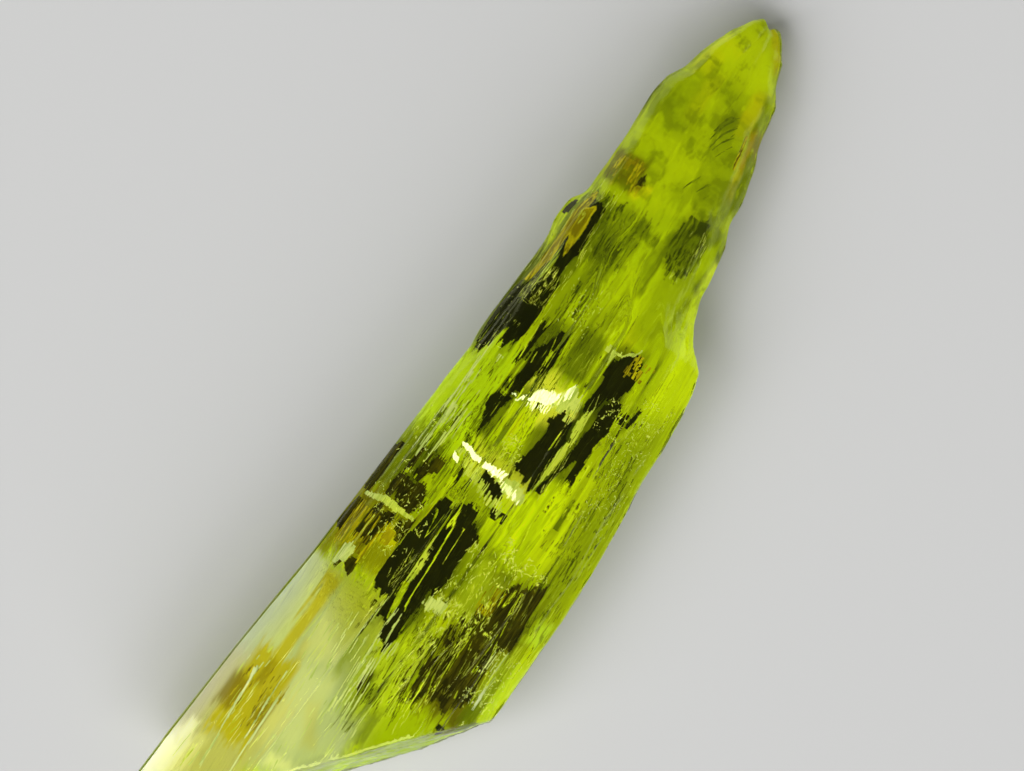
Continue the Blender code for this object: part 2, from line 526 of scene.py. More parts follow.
def makeFilmTree():                                # a thin sheet with ragged, streaky ends
    tree, given, result = newGroup(
        "growthFilm", "GeometryNodeTree",
        dict(crystal="Geometry", outline="Object", placeX="Float", placeY="Float", seed="Float",
             **numbers(filmUsual), material="Material"),
        dict(film="Geometry"),
    )
    crystal, length, width, seed = (given[name] for name in ("crystal", "length", "width", "seed"))
    shape = wired(
        tree, "GeometryNodeMeshGrid", Size_X=length, Size_Y=width,
        Vertices_X=length / given["cellLength"] + 2.0, Vertices_Y=width / given["cellWidth"] + 2.0,
    )
    x, y, _ = separate(wired(tree, "GeometryNodeInputPosition"))
    lanes = noise(combine(x / given["streakLength"] + seed, y / given["streakWidth"], seed), 2.0)
    lanes = calc("MINIMUM", (lanes - 0.5) * filmNoise["laneGain"] + 0.5, filmNoise["laneMost"])
    toEnd = (length * 0.5 - calc("ABSOLUTE", x)) / given["fringe"]
    toSide = (width * 0.5 - calc("ABSOLUTE", y)) / given["sideFringe"]
    cover = calc("MINIMUM", calc("MINIMUM", toEnd, toSide), 1.0 - given["gaps"])
    outline = wired(
        tree, "GeometryNodeObjectInfo", "Geometry", {"transform_space": "ORIGINAL"}, Object=given["outline"]
    )

    def raggedness(along, across):
        return wander(combine(x * along, y / across, seed), given["ragged"])

    def waves(along, across, reach, detail=1.0):
        return wander(combine(x * along, y * across, seed), reach, detail)

    reach = raggedness(*filmNoise["broad"]) + raggedness(*filmNoise["fine"])
    sizeX, sizeY = filmNoise["wobble"]
    aside = wander(combine(x / sizeX, y / sizeY, seed), given["wobble"], 2.0)
    # The lanes end raggedly about the outline, which lies flat at height 0
    inside, _ = castRay(outline, combine(x + reach, y + aside, 1.0), -1.0, 2.0)
    bare = calc("MAXIMUM", calc("GREATER_THAN", lanes, cover), 1.0 - inside)
    shape = shaped(shape, "GeometryNodeDeleteGeometry", {"domain": "FACE"}, Selection=bare)

    bent = y + given["bow"] * (x * x)
    bent = bent + waves(*filmNoise["bend"], filmNoise["bendReach"])
    crystalX, crystalY = turned(given, x, bent)
    _, bottom, top = crystalSpan(crystal, crystalX, crystalY)
    height = bottom + (top - bottom) * given["depth"]
    height = height + waves(*filmNoise["relief"], given["relief"], 2.0) + y * given["tilt"]
    height = held(height, bottom + given["margin"], top - given["margin"])
    shape = shaped(shape, "GeometryNodeSetPosition", Position=combine(crystalX, crystalY, height))
    bare = outside(crystal, filmEdge["reach"], 0.0, given["margin"] * filmEdge["marginShare"])
    shape = shaped(shape, "GeometryNodeDeleteGeometry", {"domain": "POINT"}, Selection=bare)

    both = tree.nodes.new("GeometryNodeJoinGeometry")
    thick = shaped(shape, "GeometryNodeExtrudeMesh", Offset_Scale=given["thickness"], Individual=False)
    feed(thick, both.inputs[0])
    feed(shaped(shape, "GeometryNodeFlipFaces"), both.inputs[0])
    closed = shaped(Wire(tree, both.outputs[0]), "GeometryNodeMergeByDistance", Distance=filmEdge["weld"])
    finishTree(given, result, closed)
    return tree


grainUsual = dict(
    length=10.0, width=6.0, turn=6.0, count=500, grainLength=2.2, grainWidth=0.045, grainThickness=0.045,
    shallow=0.85, deep=0.66, margin=0.36, patchiness=0.47, patchLength=3.0, patchWidth=1.0,
    spread=1.5, lean=1.0,
)
grainRange = dict(shortest=0.25, slimmest=0.5, reachShare=0.55, reachMore=0.3)     # shares of its sizes


def makeGrainTree():                               # many small needles or flakes
    tree, given, result = newGroup(
        "sealedGrains", "GeometryNodeTree",
        dict(crystal="Geometry", placeX="Float", placeY="Float", seed="Int", **numbers(grainUsual),
             material="Material"),
        dict(grains="Geometry"),
    )

    def chance(low, high, order):                  # a number between the two, new for each grain
        made = place(tree, "FunctionNodeRandomValue", {"data_type": "FLOAT"}, Seed=given["seed"] + order)
        feed(low, made.inputs[2])
        feed(high, made.inputs[3])
        return Wire(tree, made.outputs[1])

    def eitherWay(most, order):
        return chance(most * -1.0, most, order)

    x = chance(-0.5, 0.5, 1.0) * given["length"]
    y = chance(-0.5, 0.5, 2.0) * given["width"]
    crystalX, crystalY = turned(given, x, y)
    _, bottom, top = crystalSpan(given["crystal"], crystalX, crystalY)
    height = bottom + (top - bottom) * chance(given["deep"], given["shallow"], 3.0)
    shape = wired(
        tree, "GeometryNodePoints", Count=given["count"], Position=combine(crystalX, crystalY, height)
    )
    x, y, _ = separate(wired(tree, "GeometryNodeInputPosition"))
    patches = combine(x / given["patchLength"], y / given["patchWidth"], given["seed"])
    bare = calc("LESS_THAN", noise(patches, 2.0), given["patchiness"])
    reach = given["grainLength"] * grainRange["reachShare"] + grainRange["reachMore"]
    dx = calc("COSINE", given["turn"]) * reach
    dy = calc("SINE", given["turn"]) * reach
    loose = outside(given["crystal"], dx, dy, given["margin"])
    shape = shaped(
        shape, "GeometryNodeDeleteGeometry", {"domain": "POINT"}, Selection=calc("MAXIMUM", bare, loose)
    )
    size = combine(
        given["grainLength"] * chance(grainRange["shortest"], 1.0, 4.0),
        given["grainWidth"] * chance(grainRange["slimmest"], 1.0, 5.0),
        given["grainThickness"] * chance(grainRange["slimmest"], 1.0, 6.0),
    )
    heading = given["turn"] + eitherWay(given["spread"], 9.0)
    shape = shaped(
        shape, "GeometryNodeInstanceOnPoints", Scale=size,
        Instance=wired(tree, "GeometryNodeMeshIcoSphere", Radius=0.5, Subdivisions=1),
        Rotation=combine(eitherWay(given["lean"], 7.0), eitherWay(given["lean"], 8.0), heading),
    )
    finishTree(given, result, shape)
    return tree


filmTree = makeFilmTree()
grainTree = makeGrainTree()


def spot(px, py, length, width, **more):           # a straight place, by its middle
    return dict(at=(px, py), length=length, width=width, **more)


def traced(turn, ragged, *outline, **more):        # a place with its own outline
    return dict(turn=turn, ragged=ragged, outline=outline, **more)


def boxAbout(values):                              # a straight place's middle, and its corners about that
    halfX, halfY = values["length"] / 2, values["width"] / 2
    corners = [(-halfX, -halfY, 0.0), (halfX, -halfY, 0.0), (halfX, halfY, 0.0), (-halfX, halfY, 0.0)]
    return fromPhoto(values["at"]), corners


def outlineAbout(values):                          # the same for an outline, which also sets the size
    cosine, sine = math.cos(math.radians(values["turn"])), math.sin(math.radians(values["turn"]))
    corners = [fromPhoto(corner) for corner in values["outline"]]
    corners = [(x * cosine + y * sine, y * cosine - x * sine) for x, y in corners]
    lowX, lowY = (min(side) for side in zip(*corners))
    highX, highY = (max(side) for side in zip(*corners))
    x, y = (lowX + highX) / 2, (lowY + highY) / 2
    values["length"] = highX - lowX + values["ragged"] * 4.0
    values["width"] = highY - lowY + 0.4
    middle = (x * cosine - y * sine, x * sine + y * cosine)
    return middle, [(cornerX - x, cornerY - y, 0.0) for cornerX, cornerY in corners]


def flatObject(corners):
    mesh = bpy.data.meshes.new("outline")
    mesh.from_pydata(corners, [], [tuple(range(len(corners)))])
    return newObject("outline", mesh)


def grow(name, kind, tree):          # one run of the tree for each place in the dictionary
    material = makeStreaky(name, kind["look"])
    meshes = []
    for order, where in enumerate(kind["places"]):
        values = {**kind["usual"], **where, "material": material, "seed": kind["seed"] + order}
        middle, corners = outlineAbout(values) if "outline" in values else boxAbout(values)
        values["placeX"], values["placeY"] = middle
        for angle in ("turn", "spread", "lean"):
            values[angle] = math.radians(values.get(angle, 0.0))
        if tree == filmTree:
            values["seed"] *= 3.7
            values["outline"] = flatObject(corners)
        mesh = runTree(crystalSolid, tree, values)
        if tree == filmTree:
            bpy.data.objects.remove(values["outline"])
        if len(mesh.polygons):
            meshes.append(mesh)
    return addPiece(name, joined(meshes, material))


streakyUsual = dict(
    turn=-5.0, along=0.16, across=1.6, balance=0.5, contrast=0.10, blend=0.5, middleSpan=(0.38, 0.62),
    roughness=0.5, gloss=0.15, glow=0.0,
)


def makeStreaky(name, look):                       # an opaque film or grain, its colours streaked lengthwise
    look = {**streakyUsual, **look}
    material, tree, shader = newMaterial(name)
    broad, fine = streaksIn(rotated(inMillimetres(tree), look["turn"]), look["along"], look["across"], 0.0)
    lines = ramp(fine, look["balance"] - look["contrast"], look["balance"] + look["contrast"])
    colour = mixColours(lines, look["deep"], look["bright"])
    colour = mixColours(ramp(broad, *look["middleSpan"]) * look["blend"], colour, look["middle"])
    feed(colour, shader["Base Color"])
    shader["Roughness"].default_value = look["roughness"]
    shader["Specular IOR Level"].default_value = look["gloss"]
    if look["glow"]:                               # painted glow, standing for the light that the crystal passes on
        feed(colour, shader["Emission Color"])
        shader["Emission Strength"].default_value = look["glow"]
    return material


# The lime ground that the windows stand against, brightest along the middle, with a painted glow

tones = dict(
    lime=(0.6, 0.72, 0.006, 1), deepLime=(0.4, 0.5, 0.005, 1), softLime=(0.56, 0.74, 0.1, 1),
    paleLime=(0.5, 0.6, 0.16, 1), brightLime=(0.88, 0.97, 0.04, 1), tip=(0.285, 0.345, 0.003, 1),
    tipLight=(0.46, 0.54, 0.004, 1), tipDark=(0.125, 0.16, 0.003, 1), oliveLime=(0.25, 0.31, 0.004, 1),
    # the two darkest greens on the next line are painted shade, laid softly about the near-black films
    olive=(0.115, 0.15, 0.004, 1), oliveShade=(0.035, 0.05, 0.003, 1), greenShade=(0.01, 0.022, 0.003, 1),
    yellow=(0.62, 0.58, 0.004, 1), amber=(0.44, 0.38, 0.008, 1), orange=(0.32, 0.23, 0.004, 1),
    brown=(0.1, 0.075, 0.005, 1), brownLime=(0.26, 0.24, 0.006, 1), baseBrown=(0.2, 0.145, 0.01, 1),
    pale=(0.49, 0.54, 0.44, 1), milk=(0.42, 0.475, 0.47, 1), cream=(0.46, 0.45, 0.28, 1),
    # the white on the next line is painted glare: light coming in at the broken base, and halos about the
    # flashing fractures
    edgeCream=(0.52, 0.5, 0.4, 1), glareWhite=(0.95, 0.94, 0.88, 1), darkLine=(0.05, 0.065, 0.003, 1),
    lightLine=(0.9, 1, 0.3, 1),
)
limeGround = dict(
    look=dict(along=0.08, across=1.3, hairAlong=0.022, hairAcross=2.5, turn=-6, tipFrom=12, tipTo=18,
              tipStreaks=0.08, baseFrom=-13, baseTo=-19, baseStreaks=0.18, glow=0.5, darkHairs=0.58,
              lightHairs=0.46, calm=0.28, mottle=0.62, brightBands=0.45, hairSeed=5, finestAlong=0.0308,
              finestAcross=3, finestSeed=9, patchAlong=0.16, patchAcross=0.3, patchSeed=21,
              spotStretch=(0.55, 0.85, 0.85), roughness=0.6, gloss=0.1),
    cell=0.13, cellStretch=2.2, evenRounds=14,
    wavesAlong=0.2, wavesAcross=0.7, marginMost=0.4, edgeSharpness=3.0,
    sheet=dict(depth=0.48, rise=0.36, riseFrom=-17.5, riseTo=-22.0, riseSkew=1.1, margin=0.24,
               thickness=0.03, relief=0.12),
    # tone, spot, length, width, turn, fade at the ends and the sides, how far streaks pull it, amount
    zones=(
        ("tip", 712, 112, 17.4, 18, 0, 3, 1, 0, 1),
        ("tipLight", 757, 70, 3.4, 1.9, 34, 2, 1.2, 0, 0.8),
        ("lime", 756, 70, 2.2, 1.3, 34, 1.8, 1, 0, 0.4),
        ("tipLight", 752, 42, 3, 2.6, 0, 2, 1.4, 0, 0.5),
        ("tipLight", 720, 58, 3.6, 0.8, -8, 2, 0.8, 0, 0.4),
        ("tipDark", 700, 88, 4, 1.8, -6, 2.4, 1.4, 0.8, 0.22),
        ("tipLight", 735, 60, 4, 2.4, 4, 2.4, 1.6, 0.6, 0.45),
        ("tipLight", 712, 100, 3, 1.4, 0, 2, 1, 0.8, 0.4),
        ("tipLight", 690, 150, 6, 1.6, 2, 3, 1.4, 0.5, 0.4),
        ("tipDark", 726, 80, 2.6, 1.4, 0, 1.6, 1.2, 0.8, 0.3),
        ("amber", 776, 48, 3.4, 0.8, 35, 0.8, 0.5, 0, 0.7),
        ("tipDark", 740, 174, 5.2, 1.5, 11, 1, 0.6, 0, 0.8),
        ("tipDark", 752, 118, 2, 0.45, 15, 0.8, 0.4, 0, 0.6),
        ("baseBrown", 749, 142, 1.7, 1.2, 11, 0.8, 0.6, 0.4, 0.75),
        ("amber", 747, 110, 2.6, 0.7, 3, 1.2, 0.6, 0, 0.5),
        ("amber", 727, 172, 3.4, 0.55, 13, 1, 0.4, 0.2, 0.75),
        ("orange", 738, 150, 2.8, 0.4, 15, 0.7, 0.3, 0.2, 0.9),
        ("tipDark", 725, 127, 2, 1, -18, 1.2, 0.9, 0.6, 0.55),
        ("tipDark", 727, 145, 1.6, 0.7, -12, 1, 0.6, 0.4, 0.35),
        ("oliveShade", 664, 86, 1.1, 0.6, 0, 0.5, 0.4, 0.2, 0.85),
        ("oliveShade", 650, 106, 0.9, 0.5, 0, 0.5, 0.4, 0.2, 0.6),
        ("tipDark", 636, 131, 1.2, 0.7, 0, 0.7, 0.5, 0.2, 0.5),
        ("tipDark", 676, 106, 0.9, 0.3, -6, 0.5, 0.3, 0, 0.5),
        ("oliveLime", 650, 212, 3.2, 3, 4, 1.6, 1.2, 0.8, 0.45),
        ("deepLime", 640, 285, 11, 8.4, 6, 3, 1.4, 2, 0.75),
        ("deepLime", 612, 480, 11, 3.4, 6, 3, 1.2, 2, 0.85),
        ("oliveLime", 635, 455, 8, 1.6, 7, 2, 0.8, 1, 0.55),
        ("softLime", 464, 390, 8.6, 3.6, 2, 2, 0.8, 2, 1),
        ("lime", 676, 365, 8, 2.2, 6, 2.4, 1, 0.5, 0.7),
        ("oliveLime", 570, 604, 15, 1.4, 8, 3, 0.8, 1, 0.55),
        ("lime", 620, 330, 6, 4, 7, 3, 1.6, 1.5, 0.5),
        ("brightLime", 565, 520, 8, 2, 6, 2.4, 1, 1.5, 0.5),
        ("olive", 607, 222, 3, 1.6, 5, 1, 0.6, 0.8, 0.75),
        ("olive", 592, 252, 2.6, 1.3, 5, 0.8, 0.5, 0.8, 0.85),
        ("olive", 588, 280, 2.2, 1.3, 4, 0.8, 0.5, 0.6, 0.85),
        ("olive", 630, 236, 2.4, 1.1, 5, 0.8, 0.5, 0.6, 0.7),
        ("oliveShade", 643, 238, 0.9, 0.6, 0, 0.4, 0.4, 0.2, 0.7),
        ("oliveLime", 652, 251, 1.6, 1, 5, 0.6, 0.5, 0.4, 0.7),
        ("olive", 606, 268, 2.2, 0.7, 5, 0.8, 0.4, 0.4, 0.7),
        ("olive", 622, 260, 2.6, 0.5, 5, 0.8, 0.4, 0.4, 0.6),
        ("olive", 683, 242, 5.2, 1.8, 9, 0.9, 0.5, 0.8, 0.8),
        ("greenShade", 684, 235, 1, 0.8, 8, 0.6, 0.5, 0.4, 0.8),
        ("greenShade", 671, 270, 1.1, 1, 8, 0.6, 0.5, 0.3, 0.85),
        ("oliveShade", 678, 255, 2.2, 0.7, 10, 0.8, 0.4, 0.5, 0.6),
        ("olive", 651, 268, 4.6, 0.4, 6, 1, 0.3, 0.3, 0.9),
        ("oliveShade", 662, 318, 3.9, 0.45, -1, 0.8, 0.3, 0.3, 0.6),
        ("oliveShade", 517, 302, 9, 2.4, 1, 1.4, 0.6, 0.8, 0.85),
        ("olive", 575, 250, 6, 1.4, 1, 1, 0.5, 0.6, 0.85),
        ("greenShade", 692, 280, 1.5, 0.45, -2, 0.4, 0.25, 0.2, 0.95),
        ("greenShade", 712, 259, 1.4, 0.55, 17, 0.5, 0.35, 0.2, 0.7),
        ("olive", 708, 235, 1, 0.9, 5, 0.5, 0.5, 0.2, 0.7),
        ("brightLime", 708, 271, 1.4, 0.8, 0, 0.6, 0.4, 0, 0.6),
        ("yellow", 628, 340, 2, 1, 5, 1, 0.7, 0.3, 0.5),
        ("olive", 580, 355, 3.7, 2.2, 5, 0.5, 0.4, 0.5, 0.92),
        ("oliveLime", 545, 375, 3.6, 2.2, 5, 1.2, 0.7, 0.8, 0.6),
        ("oliveShade", 562, 424, 3.4, 1.6, 6, 0.8, 0.5, 0.3, 0.95),
        ("lime", 520, 425, 3.4, 2.4, 6, 0.8, 0.5, 0.4, 0.9),
        ("yellow", 512, 424, 1.8, 0.8, 6, 0.8, 0.5, 0.3, 0.5),
        ("olive", 405, 462, 5.4, 3.4, 1, 1.6, 0.8, 1.6, 0.85),
        ("brown", 350, 508, 7.4, 1.6, -2, 2, 0.6, 0.8, 0.7),
        ("brownLime", 374, 530, 5, 3.8, 0, 1.2, 0.7, 1.2, 0.9),
        ("yellow", 389, 533, 1.5, 1.1, 4, 0.4, 0.4, 0.2, 0.9),
        ("yellow", 425, 522, 2.2, 0.5, 8, 0.6, 0.3, 0.3, 0.7),
        ("brown", 366, 520, 3, 1, 4, 0.8, 0.4, 0.5, 0.6),
        ("oliveLime", 490, 480, 3.8, 2.6, 0, 1, 0.6, 1, 0.7),
        ("olive", 476, 590, 5.4, 3.6, 5, 1.4, 0.8, 1.4, 0.75),
        ("brown", 484, 640, 8.6, 3.2, 8, 1.6, 0.7, 1.6, 0.92),
        ("brownLime", 440, 662, 6.6, 2, 8, 1.6, 0.7, 1.4, 0.6),
        ("yellow", 430, 622, 4.2, 1.7, 5, 1.4, 0.6, 0.8, 0.55),
        ("oliveLime", 545, 600, 6, 2.6, 6, 2, 0.8, 1.6, 0.6),
        ("oliveLime", 410, 668, 5.6, 2.6, 6, 1.6, 0.8, 1.6, 0.6),
        ("softLime", 489, 684, 4.6, 2.4, 3, 1.2, 0.8, 1, 0.55),
        ("olive", 500, 665, 6, 1, 3, 1.6, 0.6, 1, 0.5),
        ("softLime", 533, 631, 1.8, 1.4, 0, 0.7, 0.5, 0.4, 0.9),
        ("deepLime", 410, 722, 6.4, 5, 2, 1.6, 1, 1, 1),
        ("olive", 462, 706, 2.2, 1.6, 4, 0.8, 0.6, 0.5, 0.9),
        ("paleLime", 374, 690, 8, 3.2, 5, 1.8, 1, 1.2, 0.9),
        ("milk", 322, 655, 12, 5.4, 5, 1.2, 0.8, 1.2, 1),
        ("milk", 300, 735, 7, 6, 0, 2, 1.2, 1, 1),
        ("pale", 288, 611, 9, 2.5, -2, 0.6, 0.2, 0.3, 1),
        ("cream", 215, 735, 10, 6, -2, 3, 1.2, 1.5, 1),
        ("edgeCream", 200, 704, 10, 1.5, -3, 2, 0.5, 0.4, 0.9),
        ("amber", 303, 623, 8.4, 0.75, 1, 0.8, 0.3, 0.3, 0.9),
        ("amber", 256, 695, 6.8, 2.9, 3, 1, 0.5, 0.8, 0.95),
        ("baseBrown", 236, 687, 2.6, 1.1, 2, 0.9, 0.5, 0.6, 0.8),
        ("baseBrown", 262, 713, 2.2, 0.9, 4, 0.9, 0.5, 0.6, 0.7),
        ("baseBrown", 268, 668, 2, 0.5, 2, 0.8, 0.3, 0.4, 0.6),
        ("amber", 300, 655, 2.6, 0.5, 6, 0.8, 0.4, 0.4, 0.6),
        ("amber", 312, 722, 3, 0.9, 30, 1.2, 0.7, 0.2, 0.35),
        ("olive", 362, 688, 4, 0.7, 5, 1.2, 0.4, 1.2, 0.65),
        ("olive", 368, 722, 3, 0.5, 5, 1.2, 0.4, 0.8, 0.6),
        ("oliveLime", 355, 640, 5, 0.4, 6, 1.2, 0.3, 0.8, 0.6),
        # painted shade about the big near-black film
        ("oliveShade", 429, 570, 9, 3.2, 8, 1, 0.5, 0.8, 0.8),
        ("lime", 430, 622, 3.6, 1.4, 6, 1.2, 0.7, 0.8, 0.55),
        ("paleLime", 478, 598, 4, 2.4, 4, 1.2, 0.8, 0.8, 0.5),
        ("paleLime", 402, 660, 6, 2, 6, 1.8, 0.8, 1.2, 0.6),
        ("lime", 398, 664, 5, 1, 6, 1.6, 0.5, 1, 0.4),
        ("brown", 448, 678, 5.4, 2.4, 8, 1.2, 0.6, 1.2, 0.85),
        ("edgeCream", 340, 622, 5, 2.2, 5, 1.6, 0.8, 0.6, 0.55),
        ("glareWhite", 340, 622, 5, 2.2, 5, 1.8, 0.9, 0.6, 0.22),
        ("pale", 340, 622, 6, 2.4, 5, 1.6, 0.8, 0.6, 0.4),
        ("glareWhite", 300, 704, 6, 2.6, 4, 2.4, 1.2, 0.6, 0.22),
        ("oliveShade", 541, 452, 5.6, 2.4, 7, 1, 0.6, 0.6, 0.8),
        ("oliveShade", 612, 382, 5, 2.4, 7, 1, 0.6, 0.6, 0.8),
        ("oliveShade", 578, 440, 6.6, 1.6, 7, 1.2, 0.6, 0.6, 0.75),
        ("oliveShade", 535, 360, 5.6, 1.5, 3, 1.2, 0.5, 0.8, 0.75),
        ("oliveShade", 494, 412, 4, 1.2, 2, 1, 0.4, 0.6, 0.7),
        ("deepLime", 655, 300, 7, 1, 8, 2, 0.6, 0.8, 0.7),
        ("oliveLime", 626, 292, 7, 0.9, 8, 2.4, 0.5, 0.8, 0.6),
        ("olive", 600, 312, 6, 0.7, 6, 2.4, 0.4, 0.8, 0.55),
        ("oliveLime", 660, 302, 6.4, 2.2, 6, 2.4, 1, 1, 0.6),
        ("lime", 690, 300, 3.4, 0.8, 12, 1.2, 0.5, 0.3, 0.7),
        ("lime", 612, 296, 5, 0.6, 8, 2, 0.4, 0.5, 0.5),
        ("olive", 590, 332, 4, 2, 5, 1.6, 0.9, 1, 0.4),
        ("oliveLime", 598, 482, 9, 2.6, 7, 2.6, 1, 1.4, 0.6),
        ("oliveLime", 566, 538, 8, 2.8, 7, 2.4, 1, 1.4, 0.42),
        ("oliveLime", 556, 566, 6, 2.4, 7, 2.4, 1, 1.4, 0.35),
        ("deepLime", 480, 378, 7, 2.6, 2, 2.4, 1, 1.2, 0.45),
        ("tipLight", 650, 175, 5, 3.4, 0, 2.4, 1.4, 0.6, 0.58),
        ("tipLight", 640, 140, 5, 1.4, 2, 1.8, 0.8, 0.4, 0.6),
        ("tipLight", 738, 58, 3.6, 2.4, 20, 1.8, 1.2, 0, 0.75),
        ("tipDark", 662, 96, 2.6, 0.5, -4, 1, 0.4, 0.2, 0.55),
        ("yellow", 716, 60, 3, 0.7, -14, 1.4, 0.5, 0.2, 0.35),
        ("yellow", 700, 96, 3.4, 0.9, 4, 1.6, 0.7, 0.3, 0.25),
        ("yellow", 744, 116, 3, 0.6, 8, 1.2, 0.4, 0.2, 0.4),
        ("brown", 626, 173, 2.4, 1.9, 0, 0.5, 0.4, 0.5, 0.85),
        ("amber", 616, 166, 1.2, 0.8, 0, 0.5, 0.4, 0.3, 0.45),
        ("yellow", 635, 192, 1.3, 0.5, -20, 0.5, 0.3, 0.1, 0.8),
        ("lime", 575, 290, 4, 1.6, 5, 1.6, 0.8, 0.8, 0.25),
        ("brown", 380, 500, 3.4, 1.8, 2, 1, 0.6, 0.6, 0.35),
        ("olive", 560, 300, 6, 1.2, 5, 2, 0.6, 0.8, 0.55),
        # painted glare where light comes in at the broken base, and halos about the flashing fractures
        ("glareWhite", 160, 752, 4.4, 3.4, 0, 2.6, 1.6, 0.4, 0.9),
        ("glareWhite", 192, 728, 1.6, 0.8, -3, 0.8, 0.6, 0.3, 0.8),
        ("glareWhite", 282, 762, 0.9, 2.4, 8, 0.8, 1, 0.2, 0.4),
        ("glareWhite", 545, 397, 2.2, 3.4, -40, 1.2, 1, 0.4, 0.9),
        ("glareWhite", 492, 470, 2.2, 4.4, 0, 1.2, 1.4, 0.4, 0.5),
    ),
)


groundNoise = dict(                                # between which values of a noise a colour sets in
    deep=(0.40, 0.60), bright=(0.54, 0.72), tipDark=(0.50, 0.36), tipLight=(0.52, 0.66), calm=(0.44, 0.60),
    darkHairs=(0.44, 0.35), lightHairs=(0.57, 0.68),
)


def makeGround():                                  # streaks along the crystal, under the painted zones
    look = limeGround["look"]
    material, tree, shader = newMaterial("limeGround")
    where = inMillimetres(tree)
    x, _, _ = separate(where)
    drawn = rotated(where, look["turn"])
    broad, bright = streaksIn(drawn, look["along"], look["across"], 0.0)
    _, hairs = streaksIn(drawn, look["hairAlong"], look["hairAcross"], look["hairSeed"])
    _, finest = streaksIn(drawn, look["finestAlong"], look["finestAcross"], look["finestSeed"])
    patches, _ = streaksIn(drawn, look["patchAlong"], look["patchAcross"], look["patchSeed"])
    colour = mixColours(ramp(broad, *groundNoise["deep"]), tones["lime"], tones["deepLime"])
    brighter = ramp(bright, *groundNoise["bright"]) * look["brightBands"]
    colour = mixColours(brighter, colour, tones["brightLime"])
    colour = vectorCalc("SCALE", colour, attribute(tree, "zoneGround"))
    colour = vectorCalc("ADD", colour, attribute(tree, "zoneTone", "Vector"))
    spots = noise(stretch(where, *look["spotStretch"]), 4.0, 0.62)
    inTip = ramp(x, look["tipFrom"], look["tipTo"]) * look["mottle"]
    colour = mixColours(ramp(spots, *groundNoise["tipDark"]) * inTip, colour, tones["tipDark"])
    colour = mixColours(ramp(spots, *groundNoise["tipLight"]) * inTip, colour, tones["tipLight"])
    lively = ramp(x, look["tipFrom"], look["tipTo"], 1.0, look["tipStreaks"])
    lively = lively * ramp(x, look["baseFrom"], look["baseTo"], 1.0, look["baseStreaks"])
    lively = lively * ramp(patches, *groundNoise["calm"], look["calm"], 1.0)
    dark = ramp(hairs, *groundNoise["darkHairs"]) * (lively * look["darkHairs"])
    light = ramp(finest, *groundNoise["lightHairs"]) * (lively * look["lightHairs"])
    colour = mixColours(light, mixColours(dark, colour, tones["darkLine"]), tones["lightLine"])
    feed(colour, shader["Base Color"])
    # painted glow: the ground emits light, standing for the light the crystal passes on
    feed(colour, shader["Emission Color"])
    shader["Emission Strength"].default_value = look["glow"]
    shader["Roughness"].default_value = look["roughness"]
    shader["Specular IOR Level"].default_value = look["gloss"]
    return material


def paintZones(shape):                             # their tone, and how much of the ground they leave bare
    look = limeGround["look"]
    where = wired(shape.tree, "GeometryNodeInputPosition")
    _, streaks = streaksIn(rotated(where, look["turn"]), look["along"], look["across"], 0.0)
    painted = (0.0, 0.0, 0.0, 1.0)
    bare = 1.0
    for tone, px, py, length, width, turn, ends, sides, reach, amount in limeGround["zones"]:
        centreX, centreY = fromPhoto((px, py))
        cover = wired(
            shape.tree, "GeometryNodeGroup", 0, {"node_tree": patchGroup}, where=where, centreX=centreX,
            centreY=centreY, turn=math.radians(turn), halfLength=length / 2, halfWidth=width / 2,
            endFade=ends, sideFade=sides, streaks=streaks, reach=reach,
        ) * amount
        painted = mixColours(cover, painted, tones[tone])
        bare = (1.0 - cover) * bare
    return storeMask(storeMask(shape, "zoneTone", painted, "FLOAT_VECTOR"), "zoneGround", bare)


def makeSheetTree():                               # the crystal pressed flat, ending short of its surface
    tree, given, result = newGroup(
        "groundSheet", "GeometryNodeTree",
        dict(crystal="Geometry", **numbers(limeGround["sheet"]), material="Material"), dict(sheet="Geometry"),
    )
    margin = given["margin"]

    def evened(kind):                              # the remeshed cells' steps smoothed away
        return separate(blurred(wired(tree, kind), "FLOAT_VECTOR", limeGround["evenRounds"]))

    x, y, _ = evened("GeometryNodeInputPosition")
    faceX, faceY, faceZ = evened("GeometryNodeInputNormal")
    x = x - faceX * margin
    y = y - faceY * margin
    _, bottom, top = crystalSpan(given["crystal"], x, y)
    span = top - bottom
    risen = given["rise"] * ramp(x - y * given["riseSkew"], given["riseFrom"], given["riseTo"])
    height = bottom + span * (given["depth"] + risen)
    waves = combine(x * limeGround["wavesAlong"], y * limeGround["wavesAcross"])
    height = height + wander(waves, given["relief"], 2.0)
    clear = calc("MINIMUM", margin, span * limeGround["marginMost"])
    height = held(height, bottom + clear, top - clear)
    side = held(faceZ * limeGround["edgeSharpness"], -1.0, 1.0)
    height = height + side * (given["thickness"] * 0.5)
    shape = shaped(given["crystal"], "GeometryNodeSetPosition", Position=combine(x, y, height))
    finishTree(given, result, paintZones(shaped(shape, "GeometryNodeSetShadeSmooth")))
    return tree


groundMaterial = makeGround()
groundSheet = runTree(
    evenCells(limeGround["cell"], limeGround["cellStretch"]), makeSheetTree(),
    dict(limeGround["sheet"], material=groundMaterial),
)
addPiece("limeGround", joined([groundSheet], groundMaterial))
